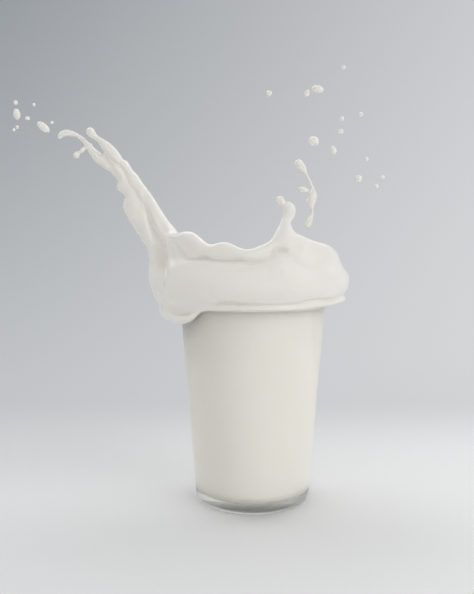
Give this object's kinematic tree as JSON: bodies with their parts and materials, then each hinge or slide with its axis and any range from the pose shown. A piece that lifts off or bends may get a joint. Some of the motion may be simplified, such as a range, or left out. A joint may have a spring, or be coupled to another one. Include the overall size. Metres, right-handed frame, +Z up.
{
  "type": "glass of milk",
  "caption": "Clear tapered tumbler brimful of milk, splashing out in a thick rolled crown, a tall forked jet leaning to the left, a small peak and loose drops.",
  "frame": {"origin": "centre of the tumbler's foot, on the surface it stands on", "axes": "+Z up along the tumbler's axis, -Y to the front, +X to the right; the jet leans towards -X"},
  "size_m": [0.2153, 0.1038, 0.2501],
  "materials": {
    "glass": "clear, smooth and glossy",
    "milk": "wet and glossy, opaque white with a little depth"
  },
  "bodies": {
    "root": {"glass": "glass", "milk": "milk", "strand": "milk", "drop_left_1": "milk", "drop_left_2": "milk", "drop_left_3": "milk", "drop_left_4": "milk", "drop_left_5": "milk", "drop_left_6": "milk", "drop_left_7": "milk", "drop_left_8": "milk", "drop_right_1": "milk", "drop_right_2": "milk", "drop_right_3": "milk", "drop_right_4": "milk", "drop_right_5": "milk", "drop_right_6": "milk", "drop_right_7": "milk", "drop_right_8": "milk", "drop_right_9": "milk", "drop_right_10": "milk", "drop_right_11": "milk", "drop_right_12": "milk", "drop_right_13": "milk", "drop_right_14": "milk"}
  },
  "joints": []
}
